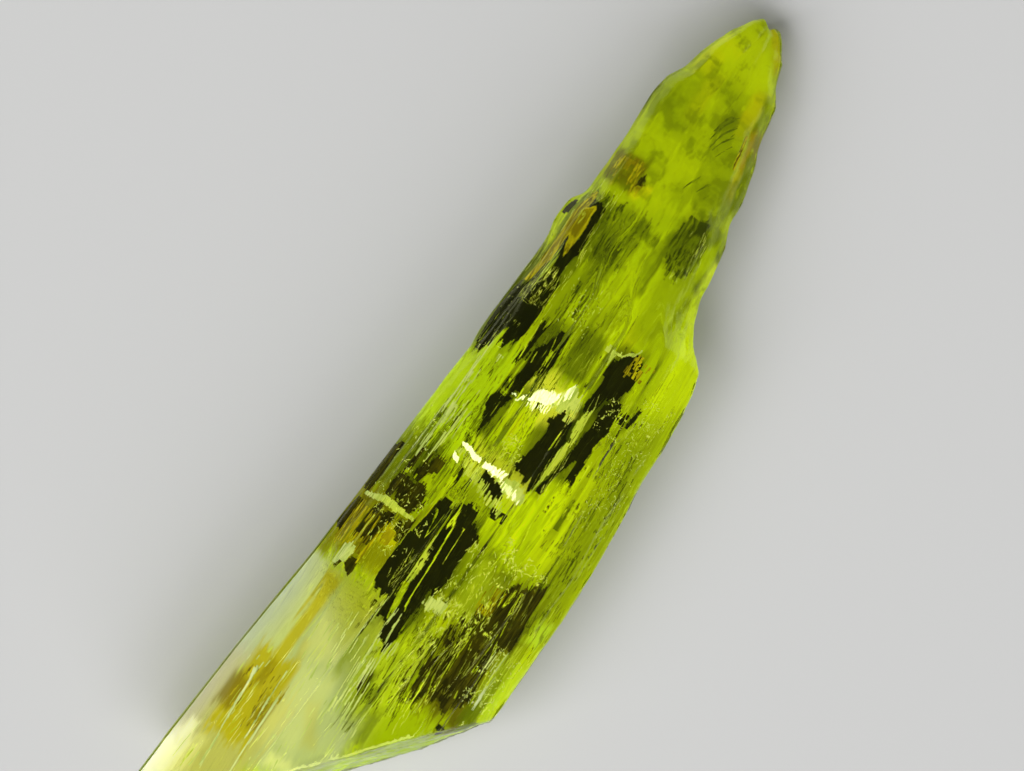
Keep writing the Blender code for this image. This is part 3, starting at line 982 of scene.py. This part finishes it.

# Painted shade: near-black films where the clear crystal shows only shade, and brown-black ones towards the
# base

# painted shade: near-black sheets sealed where the crystal shows only shade
darkWindows = dict(
    seed=11,
    look=dict(deep=(0.002, 0.003, 0.001, 1), middle=(0.005, 0.006, 0.002, 1), bright=(0.016, 0.02, 0.003, 1),
              balance=0.6),
    usual=dict(filmUsual, depth=0.66, cellLength=0.2, cellWidth=0.04, fringe=0.01, sideFringe=0.01,
               ragged=0.55, wobble=0.03, relief=0.05),
    places=(
        traced(8, 0.5, (438, 500), (446, 502), (452, 508), (459, 506), (470, 500), (474, 512), (476, 528),
            (478, 538), (466, 548), (462, 554), (452, 566), (446, 578), (438, 590), (424, 593), (418, 602),
            (405, 619), (396, 634), (388, 642), (379, 651), (380, 640), (384, 618), (377, 612), (382, 595),
            (376, 583), (378, 572), (388, 556), (400, 543), (412, 530), (424, 518)),
        traced(7, 0.35, (546, 418), (558, 411), (570, 425), (566, 440), (560, 446), (556, 458), (548, 470),
            (541, 480), (533, 488), (526, 491), (520, 485), (520, 470), (514, 462), (524, 450), (535, 440),
            (545, 428)),
        traced(7, 0.35, (597, 412), (608, 401), (620, 399), (622, 413), (614, 423), (606, 434), (596, 446),
            (588, 455), (574, 463), (560, 472), (548, 484), (540, 493), (536, 490), (548, 474), (560, 459),
            (572, 447), (584, 430)),
        traced(7, 0.3, (608, 361), (620, 357), (637, 352), (641, 362), (638, 378), (629, 391), (618, 399),
            (602, 402), (594, 410), (583, 422), (580, 416), (580, 404), (588, 394), (598, 382), (602, 370)),
        traced(2, 0.4, (553, 338), (560, 332), (570, 327), (562, 342), (554, 352), (548, 362), (538, 370),
            (530, 376), (522, 384), (518, 393), (508, 393), (503, 388), (510, 378), (518, 372), (524, 364),
            (532, 352), (541, 344)),
        traced(4, 0.5, (544, 321), (550, 321), (538, 340), (526, 357), (514, 368), (511, 363), (524, 348),
            (534, 336), gaps=0.1),
        traced(4, 0.5, (555, 352), (559, 352), (549, 366), (543, 372), (541, 369), gaps=0.1),
        traced(0, 0.3, (492, 397), (500, 392), (511, 391), (510, 400), (500, 408), (492, 418), (484, 425),
            (478, 429), (477, 421), (485, 408)),
        traced(0, 0.25, (597, 206), (604, 211), (597, 222), (588, 237), (580, 251), (570, 263), (562, 273),
            (553, 285), (545, 299), (538, 298), (540, 288), (551, 273), (558, 262), (566, 250), (578, 240),
            (588, 222)),
        traced(0, 0.5, (530, 286), (545, 280), (556, 284), (546, 300), (536, 307), (528, 322), (520, 333),
            (508, 343), (498, 351), (476, 352), (480, 342), (490, 324), (502, 306), (512, 294), (520, 286),
            gaps=0.16),
        traced(0, 0.3, (538, 300), (546, 302), (533, 319), (526, 331), (513, 339), (502, 347), (498, 342),
            (512, 328), (524, 314)),
        traced(0, 0.2, (566, 206), (578, 202), (581, 208), (573, 216), (564, 214)),
        traced(5, 0.2, (486, 470), (492, 476), (500, 488), (501, 497), (494, 503), (484, 494), (479, 484)),
        traced(5, 0.2, (487, 507), (497, 506), (501, 511), (494, 518), (486, 514)),
        traced(8, 0.4, (457, 481), (461, 466), (466, 460), (464, 470), (456, 488), (450, 492), gaps=0.1),
        traced(0, 0.1, (430, 720), (439, 719), (438, 731), (432, 737)),
        traced(4, 0.3, (632, 404), (634, 408), (626, 420), (616, 426), (616, 421)),
        traced(2, 0.4, (570, 443), (592, 452), (580, 470), (566, 486), (563, 480), (576, 462), gaps=0.1),
    ),
)
# painted shade as well, brown-black towards the base
brownWindows = dict(
    seed=31,
    look=dict(deep=(0.012, 0.008, 0.002, 1), middle=(0.034, 0.025, 0.004, 1),
              bright=(0.105, 0.088, 0.008, 1), balance=0.52),
    usual=dict(filmUsual, depth=0.64, cellLength=0.2, cellWidth=0.04, fringe=0.01, sideFringe=0.01,
               ragged=0.6, wobble=0.04, relief=0.05, streakWidth=0.09),
    places=(
        traced(8, 0.7, (505, 587), (520, 580), (538, 584), (536, 598), (526, 612), (518, 628), (508, 641),
            (496, 647), (484, 655), (478, 668), (470, 683), (462, 699), (440, 701), (424, 699), (426, 686),
            (436, 668), (446, 652), (458, 634), (474, 615), (490, 602), gaps=0.16),
        traced(8, 0.9, (478, 612), (488, 606), (470, 634), (450, 662), (428, 692), (405, 704), (394, 692),
            (402, 672), (420, 646), (440, 632), (456, 618), gaps=0.34),
        traced(6, 0.2, (408, 477), (418, 480), (427, 483), (423, 496), (418, 506), (408, 512), (400, 508),
            (394, 500), (400, 488)),
        traced(2, 0.3, (415, 470), (425, 463), (438, 454), (445, 461), (437, 472), (426, 475), (413, 480),
            gaps=0.05),
        traced(2, 0.5, (396, 446), (412, 444), (402, 458), (392, 472), (382, 484), (372, 494), (364, 490),
            (374, 474), (384, 458), gaps=0.12),
        traced(2, 0.3, (384, 510), (399, 509), (397, 520), (384, 526), (375, 537), (366, 543), (361, 539),
            (372, 524)),
        traced(2, 0.2, (350, 556), (359, 555), (353, 570), (343, 576), (337, 570), (342, 562)),
        traced(0, 0.5, (354, 500), (371, 500), (363, 512), (350, 522), (340, 534), (332, 548), (326, 546),
            (336, 528), (344, 512), gaps=0.14),
        traced(4, 0.4, (400, 518), (414, 518), (406, 534), (396, 546), (392, 536), gaps=0.3),
        traced(5, 0.6, (372, 596), (380, 600), (372, 618), (356, 640), (346, 656), (342, 650), (356, 622),
            gaps=0.42),
        traced(6, 0.6, (366, 672), (374, 672), (360, 694), (350, 700), (346, 694), (356, 682), gaps=0.44),
        traced(4, 0.2, (640, 176), (643, 178), (637, 189), (633, 187)),
    ),
)

# Olive films, the crystal's deep colour with painted shade where it is clear, and the arched feathers in its
# tip

oliveBands = dict(
    seed=57,
    look=dict(deep=(0.03, 0.042, 0.003, 1), middle=(0.08, 0.105, 0.005, 1), bright=(0.22, 0.28, 0.01, 1),
              balance=0.52, glow=0.2),
    usual=dict(filmUsual, depth=0.57, gaps=0.6, fringe=3, sideFringe=1, streakLength=5, streakWidth=0.1,
               cellWidth=0.045),
    places=(
        traced(9, 0.5, (690, 214), (698, 222), (698, 245), (686, 262), (676, 277), (664, 276), (660, 262),
            (672, 232), gaps=0.32, fringe=0.4, sideFringe=0.2),
        spot(462, 440, 9, 4, turn=3),
        spot(575, 285, 9, 3, turn=6, gaps=0.72),
        spot(610, 236, 6, 4, turn=6, gaps=0.6),
        spot(540, 372, 6, 3, turn=6, gaps=0.68),
        spot(396, 652, 9, 3.4, turn=7, gaps=0.7),
        spot(364, 690, 7, 1.6, turn=6, gaps=0.76, depth=0.86),
        spot(590, 500, 9, 3, turn=6, gaps=0.74),
        spot(538, 590, 8, 3, turn=7, gaps=0.64),
    ),
)
tipFeathers = dict(
    seed=71,
    look=dict(deep=(0.075, 0.1, 0.003, 1), middle=(0.11, 0.145, 0.004, 1), bright=(0.16, 0.2, 0.004, 1),
              turn=18, glow=0.4),
    usual=dict(filmUsual, cellLength=0.12, cellWidth=0.035, fringe=1, sideFringe=0.16, streakLength=1.2,
               streakWidth=0.07, gaps=0.15, relief=0.04, depth=0.87, bow=-0.12, turn=-20),
    places=(
        spot(722, 126, 2.6, 0.5),
        spot(720, 136, 2.8, 0.26),
        spot(718, 145, 2.5, 0.22),
        spot(720, 154, 2, 0.2),
        spot(735, 134, 1.6, 0.18),
        spot(694, 181, 1.8, 0.26),
        spot(700, 190, 1.7, 0.24),
        spot(686, 184, 1.4, 0.18),
        spot(708, 196, 1.3, 0.18),
    ),
)

# Bright lime silk over the darker films, and pale silk near the surface

thinLine = dict(turn=8, gaps=0, fringe=0.5, sideFringe=0.01, relief=0.03, depth=0.71)
hairline = dict(fringe=0.8, sideFringe=0.04, depth=0.93)
shortEnds = dict(fringe=0.2, sideFringe=0.1)
limeSilk = dict(
    seed=83,
    look=dict(deep=(0.4, 0.5, 0.01, 1), middle=(0.6, 0.72, 0.03, 1), bright=(0.82, 0.92, 0.14, 1),
              balance=0.48, glow=0.3),
    usual=dict(filmUsual, depth=0.74, gaps=0.76, fringe=3, sideFringe=1, streakLength=8, streakWidth=0.085,
               cellWidth=0.035),
    places=(
        traced(8, 0.5, (440, 500), (456, 500), (430, 544), (404, 590), (384, 630), (372, 640), (374, 580),
            (396, 548), (420, 522), gaps=0.84, fringe=1, sideFringe=0.1, depth=0.7),
        spot(436, 552, 9, 0.1, **thinLine),
        spot(426, 550, 7, 0.08, **thinLine),
        spot(414, 572, 6, 0.08, **thinLine),
        spot(404, 588, 5, 0.07, **thinLine),
        spot(444, 524, 4, 0.07, **thinLine),
        spot(452, 544, 3.4, 0.06, **thinLine),
        spot(434, 655, 9, 3.6, turn=8, fringe=2, gaps=0.74),
        spot(484, 642, 9, 3, turn=8, fringe=3, gaps=0.84),
        spot(532, 632, 2.2, 0.9, turn=5, gaps=0.2),
        spot(577, 197, 1.6, 0.35, turn=-30, fringe=0.4, sideFringe=0.2, gaps=0.1, depth=0.75),
        spot(560, 520, 9, 3, turn=6, fringe=4, gaps=0.84),
        spot(520, 370, 8, 2, turn=6, fringe=4, gaps=0.8),
    ),
)
paleSilk = dict(
    seed=101,
    look=dict(deep=(0.4, 0.5, 0.2, 1), middle=(0.55, 0.64, 0.36, 1), bright=(0.72, 0.78, 0.56, 1),
              balance=0.46, blend=0.6, glow=0.3),
    usual=dict(filmUsual, depth=0.9, margin=0.34, gaps=0.2, fringe=3, sideFringe=0.8, cellLength=0.2),
    places=(
        spot(325, 700, 13, 6, turn=5, fringe=4, gaps=0.8),
        spot(366, 655, 10, 2.6, turn=6, fringe=4, gaps=0.74),
        spot(205, 712, 12, 3, turn=-2, fringe=3, gaps=0.86),
        spot(231, 712, 8.6, 0.17, turn=7, **hairline),
        spot(256, 732, 7, 0.15, turn=4, **hairline),
        spot(268, 700, 6, 0.12, turn=5, **hairline),
        spot(205, 690, 9, 0.15, turn=-2, **hairline),
        spot(213, 704, 7, 0.12, turn=0, **hairline),
        traced(0, 0.1, (358, 488), (366, 490), (380, 494), (392, 498), (402, 506), (412, 516), (410, 519),
            (400, 512), (390, 507), (378, 499), (362, 492), wobble=0.12, gaps=0, fringe=0.01,
            sideFringe=0.01, cellLength=0.08, depth=0.8),
        traced(2, 0.3, (348, 542), (357, 541), (354, 552), (344, 561), (334, 563), (340, 553), gaps=0,
            **shortEnds),
        traced(0, 0.3, (423, 597), (434, 594), (447, 603), (441, 613), (428, 609), gaps=0.16, **shortEnds),
        traced(0, 0.3, (500, 473), (514, 479), (520, 487), (525, 499), (520, 504), (510, 498), (500, 488),
            (496, 480), gaps=0.2, depth=0.86, **shortEnds),
        traced(6, 0.3, (560, 396), (577, 385), (576, 398), (568, 411), (558, 413), (549, 406), gaps=0.25,
            depth=0.86, **shortEnds),
        traced(6, 0.4, (577, 397), (582, 396), (575, 410), (566, 421), (561, 421), (568, 408), gaps=0.3,
            depth=0.8, **shortEnds),
        traced(8, 0.2, (588, 408), (593, 405), (591, 413), (581, 430), (574, 441), (566, 447), (559, 458),
            (547, 471), (536, 487), (529, 494), (533, 484), (545, 468), (556, 452), (567, 441), (572, 428),
            (580, 417), gaps=0.1, fringe=0.2, sideFringe=0.05, depth=0.72),
        traced(8, 0.2, (438, 533), (441, 534), (430, 552), (420, 567), (412, 578), (407, 583), (412, 572),
            (424, 554), gaps=0.1, fringe=0.2, sideFringe=0.05, depth=0.72),
        spot(490, 682, 4.8, 2.8, turn=3, fringe=2.2, gaps=0.7),
        spot(466, 380, 7, 3, turn=2, fringe=3, gaps=0.68),
        spot(440, 430, 5, 2.4, turn=2, fringe=2, gaps=0.68),
        traced(4, 0.5, (456, 446), (464, 446), (474, 462), (484, 478), (494, 494), (503, 506), (496, 514),
            (484, 500), (472, 484), (462, 466), gaps=0.5, depth=0.8, **shortEnds),
        traced(4, 0.3, (603, 352), (606, 347), (614, 348), (620, 354), (612, 358), (606, 362), gaps=0.3,
            depth=0.8, **shortEnds),
        traced(-60, 0.08, (612, 352), (622, 355), (632, 353), (640, 349), (641, 351), (632, 356), (620, 358),
            wobble=0.06, gaps=0.1, fringe=0.2, sideFringe=0.04, cellLength=0.08, depth=0.8),
    ),
)

# Cross fractures close under the front face, white and glowing as a painted highlight where
# they flash. They run across the crystal, in short strokes along it.

crossCracks = dict(
    seed=131,
    look=dict(deep=(0.6, 0.7, 0.36, 1), middle=(0.86, 0.92, 0.76, 1), bright=(1, 1, 1, 1), along=0.5,
              across=2.4, roughness=0.35, gloss=0.5, balance=0.42, contrast=0.16, glow=0.9),
    usual=dict(filmUsual, depth=0.96, margin=0.28, cellLength=0.06, cellWidth=0.035, fringe=0.01,
               sideFringe=0.01, ragged=0.1, wobble=0.03, streakLength=1.6, streakWidth=0.07, tilt=0,
               relief=0.08),
    places=(
        traced(6, 0.15, (526, 397), (532, 393), (542, 391), (552, 394), (556, 397), (551, 404), (545, 405),
            (537, 402), (528, 400)),
        traced(6, 0.25, (511, 393), (516, 397), (528, 395), (540, 391), (552, 393), (560, 395), (552, 404),
            (546, 405), (536, 402), (524, 400), (514, 398), gaps=0.3),
        traced(6, 0.3, (556, 396), (574, 386), (577, 388), (570, 398), (556, 406), gaps=0.5),
        traced(6, 0.3, (520, 399), (540, 402), (556, 404), (546, 412), (530, 409), gaps=0.58),
        traced(0, 0.12, (463, 440), (467, 442), (476, 454), (490, 463), (500, 471), (499, 475), (488, 468),
            (474, 458), (464, 445)),
        traced(0, 0.2, (463, 440), (468, 443), (478, 456), (490, 464), (500, 470), (508, 474), (502, 480),
            (497, 478), (490, 472), (482, 466), (474, 458), (466, 449), gaps=0.35),
        traced(0, 0.3, (498, 476), (506, 482), (514, 492), (522, 499), (518, 503), (508, 497), (500, 486),
            gaps=0.52),
        traced(0, 0.1, (455, 450), (460, 456), (458, 462), (453, 456), gaps=0.1),
        spot(192, 728, 2.2, 0.22, turn=-4, gaps=0.2, fringe=0.5),
        spot(160, 752, 4.4, 2.2, turn=-4, gaps=0.55, fringe=1.6, sideFringe=0.5),
    ),
)

# Iron oxide films in cracks and along growth lines

amberStain = dict(
    seed=151,
    look=dict(deep=(0.12, 0.08, 0.004, 1), middle=(0.36, 0.28, 0.008, 1), bright=(0.7, 0.6, 0.02, 1),
              balance=0.5, roughness=0.7, glow=0.2),
    usual=dict(filmUsual, depth=0.76, margin=0.36, gaps=0.1, fringe=1.4, sideFringe=0.35),
    places=(
        traced(-1, 0.4, (596, 196), (601, 200), (594, 212), (584, 229), (572, 245), (560, 259), (548, 270),
            (540, 278), (530, 286), (527, 281), (538, 268), (548, 254), (560, 240), (572, 222), (584, 206),
            gaps=0.08, fringe=0.3, sideFringe=0.1),
        spot(627, 173, 2.2, 1.8, turn=4, fringe=0.6, gaps=0.58, streakLength=0.9),
        spot(634, 190, 0.9, 0.6, turn=0, fringe=0.3, gaps=0),
        spot(636, 370, 1.9, 1.6, turn=0, fringe=0.5, gaps=0.5, streakLength=0.6, streakWidth=0.16,
            depth=0.82),
        spot(736, 152, 3, 0.28, turn=14, gaps=0.35, fringe=0.8, sideFringe=0.1),
        spot(389, 533, 1.4, 1, turn=0, fringe=0.4, gaps=0.05),
        spot(329, 546, 0.8, 0.5, turn=0, fringe=0.3, gaps=0),
        spot(362, 528, 4.2, 2.4, turn=2, fringe=1.6, gaps=0.55, depth=0.7),
        spot(244, 684, 4, 1.6, turn=2, fringe=1.4, gaps=0.62, streakLength=1.2, depth=0.93),
        spot(266, 700, 5, 1.8, turn=3, fringe=1.6, gaps=0.66, streakLength=1.6, depth=0.93),
        spot(490, 600, 2.6, 1.6, turn=4, fringe=1, gaps=0.6, depth=0.7),
    ),
)

# Needles along the crystal and flakes in its crazed patches

brightNeedles = dict(
    seed=211,
    look=dict(deep=(0.5, 0.6, 0.06, 1), middle=(0.75, 0.82, 0.25, 1), bright=(0.95, 0.98, 0.6, 1), glow=0.3),
    usual=dict(grainUsual),
    places=(
        spot(402, 565, 12, 1.6, turn=8, count=24, grainLength=3.4, grainWidth=0.03),
        spot(430, 655, 10, 3, turn=8, count=160, grainLength=2.6, grainWidth=0.035),
        spot(484, 640, 8, 3, turn=8, count=60, grainLength=2, grainWidth=0.03),
        spot(560, 450, 8, 1.6, turn=7, count=60, grainLength=2.4, grainWidth=0.03),
        spot(570, 250, 10, 2, count=140, grainLength=1.6, grainWidth=0.03, turn=4),
        spot(505, 320, 9, 2.4, count=50, grainLength=0.9, grainWidth=0.022, turn=3),
        spot(684, 258, 4, 1.6, count=40, grainLength=1.2, grainWidth=0.03, turn=10),
        spot(250, 690, 14, 5, count=150, grainLength=2.6, turn=0, shallow=0.97, deep=0.9),
    ),
)
darkNeedles = dict(
    seed=251,
    look=dict(deep=(0.01, 0.012, 0.002, 1), middle=(0.03, 0.035, 0.004, 1), bright=(0.07, 0.08, 0.01, 1)),
    usual=dict(grainUsual, grainWidth=0.055, shallow=0.8, deep=0.6),
    places=(
        spot(470, 460, 12, 6, count=300, grainLength=1.8, grainWidth=0.04),
        spot(540, 390, 14, 7, count=160, grainLength=2.2, grainWidth=0.04),
        spot(600, 290, 12, 4, count=110, grainLength=2.4, grainWidth=0.035),
        spot(410, 655, 9, 3.4, turn=8, count=200, grainLength=2.2, grainWidth=0.045),
        spot(560, 560, 14, 4, count=420, grainLength=0.8, grainWidth=0.04),
        spot(600, 470, 12, 4, count=260, grainLength=0.7, grainWidth=0.04),
    ),
)
paleFlakes = dict(
    seed=283,
    look=dict(deep=(0.6, 0.68, 0.16, 1), middle=(0.74, 0.82, 0.36, 1), bright=(0.92, 0.96, 0.7, 1), along=1,
              glow=0.3),
    usual=dict(grainUsual, grainLength=0.5, grainWidth=0.065, grainThickness=0.035, spread=60, lean=40,
               shallow=0.93, deep=0.7, patchiness=0.48, patchLength=1.2, patchWidth=0.8),
    places=(
        spot(478, 588, 5.4, 4.4, count=420, grainLength=0.55, grainWidth=0.08, spread=35),
        spot(520, 562, 1.4, 3.6, turn=-10, count=110, grainLength=0.6, grainWidth=0.1),
        spot(435, 618, 4, 2.2, count=120, grainLength=0.55, grainWidth=0.08, spread=30),
        spot(580, 307, 3.6, 2.6, count=130, grainLength=0.36, grainWidth=0.05),
        spot(510, 450, 1.8, 2, turn=-20, count=130),
        spot(610, 418, 2.6, 1.6, count=120, grainLength=0.3),
        spot(400, 520, 5, 3.4, count=200),
        spot(490, 682, 5, 3, count=520, grainLength=0.34),
        spot(625, 470, 10, 3, turn=8, count=700, grainLength=0.34, grainWidth=0.05),
        spot(420, 450, 8, 2.4, count=200, grainLength=0.35),
        spot(512, 310, 7, 2.2, turn=0, count=200, grainLength=0.16, grainWidth=0.035),
    ),
)

sealed = (
    (filmTree, "hiddenite", dict(
        darkWindows=darkWindows, brownWindows=brownWindows, oliveBands=oliveBands, tipFeathers=tipFeathers)),
    (filmTree, "healed_fracture", dict(limeSilk=limeSilk, paleSilk=paleSilk, crossCracks=crossCracks)),
    (filmTree, "iron_stain", dict(amberStain=amberStain)),
    (grainTree, "healed_fracture", dict(brightNeedles=brightNeedles)),
    (grainTree, "hiddenite", dict(darkNeedles=darkNeedles)),
    (grainTree, "healed_fracture", dict(paleFlakes=paleFlakes)),
)
for tree, materialSlot, kinds in sealed:
    for kindName, kind in kinds.items():
        grow(kindName, kind, tree)


# Floor, light and camera

studio = dict(
    floorSize=3.0, floorDrop=0.15 * mm, floorColour=(0.46, 0.46, 0.455, 1.0),
    floorRoughness=0.6, floorGloss=0.0,
    worldColour=(0.95, 0.97, 1.0, 1.0), worldStrength=0.09,
    lights=(                                       # name, place, size and power
        ("keySoftbox", (-1.35, 0.36, 1.35), 1.86, 57.6),
        ("fillSoftbox", (-1.14, -1.14, 1.08), 1.65, 37.8),
    ),
    cameraDistance=0.40, nearest=0.01, farthest=10.0, outlineHeight=4.5 * mm, sensor=36.0,
    bounces=18, throughBounces=14, otherBounces=8,
)


def makeFloor():
    half = studio["floorSize"] / 2
    drop = -studio["floorDrop"]
    sheet = bpy.data.meshes.new("studioFloor")
    corners = [(-half, -half, drop), (half, -half, drop), (half, half, drop), (-half, half, drop)]
    sheet.from_pydata(corners, [], [(0, 1, 2, 3)])
    paint, _, shader = newMaterial("paleFloor")
    shader["Base Color"].default_value = studio["floorColour"]
    shader["Roughness"].default_value = studio["floorRoughness"]
    shader["Specular IOR Level"].default_value = studio["floorGloss"]
    sheet.materials.append(paint)
    newObject("studioFloor", sheet)


def makeLights():
    world = bpy.data.worlds.new("studio")
    bpy.context.scene.world = world
    world.use_nodes = True
    sky = world.node_tree.nodes["Background"].inputs
    sky["Color"].default_value = studio["worldColour"]
    sky["Strength"].default_value = studio["worldStrength"]
    for name, stand, size, power in studio["lights"]:
        lamp = bpy.data.lights.new(name, "AREA")
        lamp.shape = "SQUARE"
        lamp.size = size
        lamp.energy = power
        holder = newObject(name, lamp)
        holder.location = stand
        holder.rotation_euler = (-Vector(stand)).to_track_quat("-Z", "Y").to_euler()


def makeCamera():
    lens = bpy.data.cameras.new("frontCamera")
    lens.sensor_width = studio["sensor"]
    seen = photo["width"] * photo["mmPerPixel"] * mm          # width of the picture at the crystal
    lens.lens = studio["sensor"] * studio["cameraDistance"] / seen
    lens.clip_start = studio["nearest"]
    lens.clip_end = studio["farthest"]
    camera = newObject("frontCamera", lens)
    height = studio["outlineHeight"] + studio["cameraDistance"]
    camera.location = (photo["centreX"] * mm, photo["centreY"] * mm, height)
    camera.rotation_euler = (0.0, 0.0, -math.radians(photo["axisAngle"]))
    bpy.context.scene.camera = camera


def setPathDepth():                                # enough bounces to see through the crystal
    cycles = bpy.context.scene.cycles
    cycles.max_bounces = studio["bounces"]
    cycles.transmission_bounces = studio["throughBounces"]
    cycles.glossy_bounces = studio["otherBounces"]
    cycles.diffuse_bounces = studio["otherBounces"]
    bpy.context.scene.view_settings.view_transform = "Standard"


makeFloor()
makeLights()
makeCamera()
setPathDepth()
print("studio and camera ready")
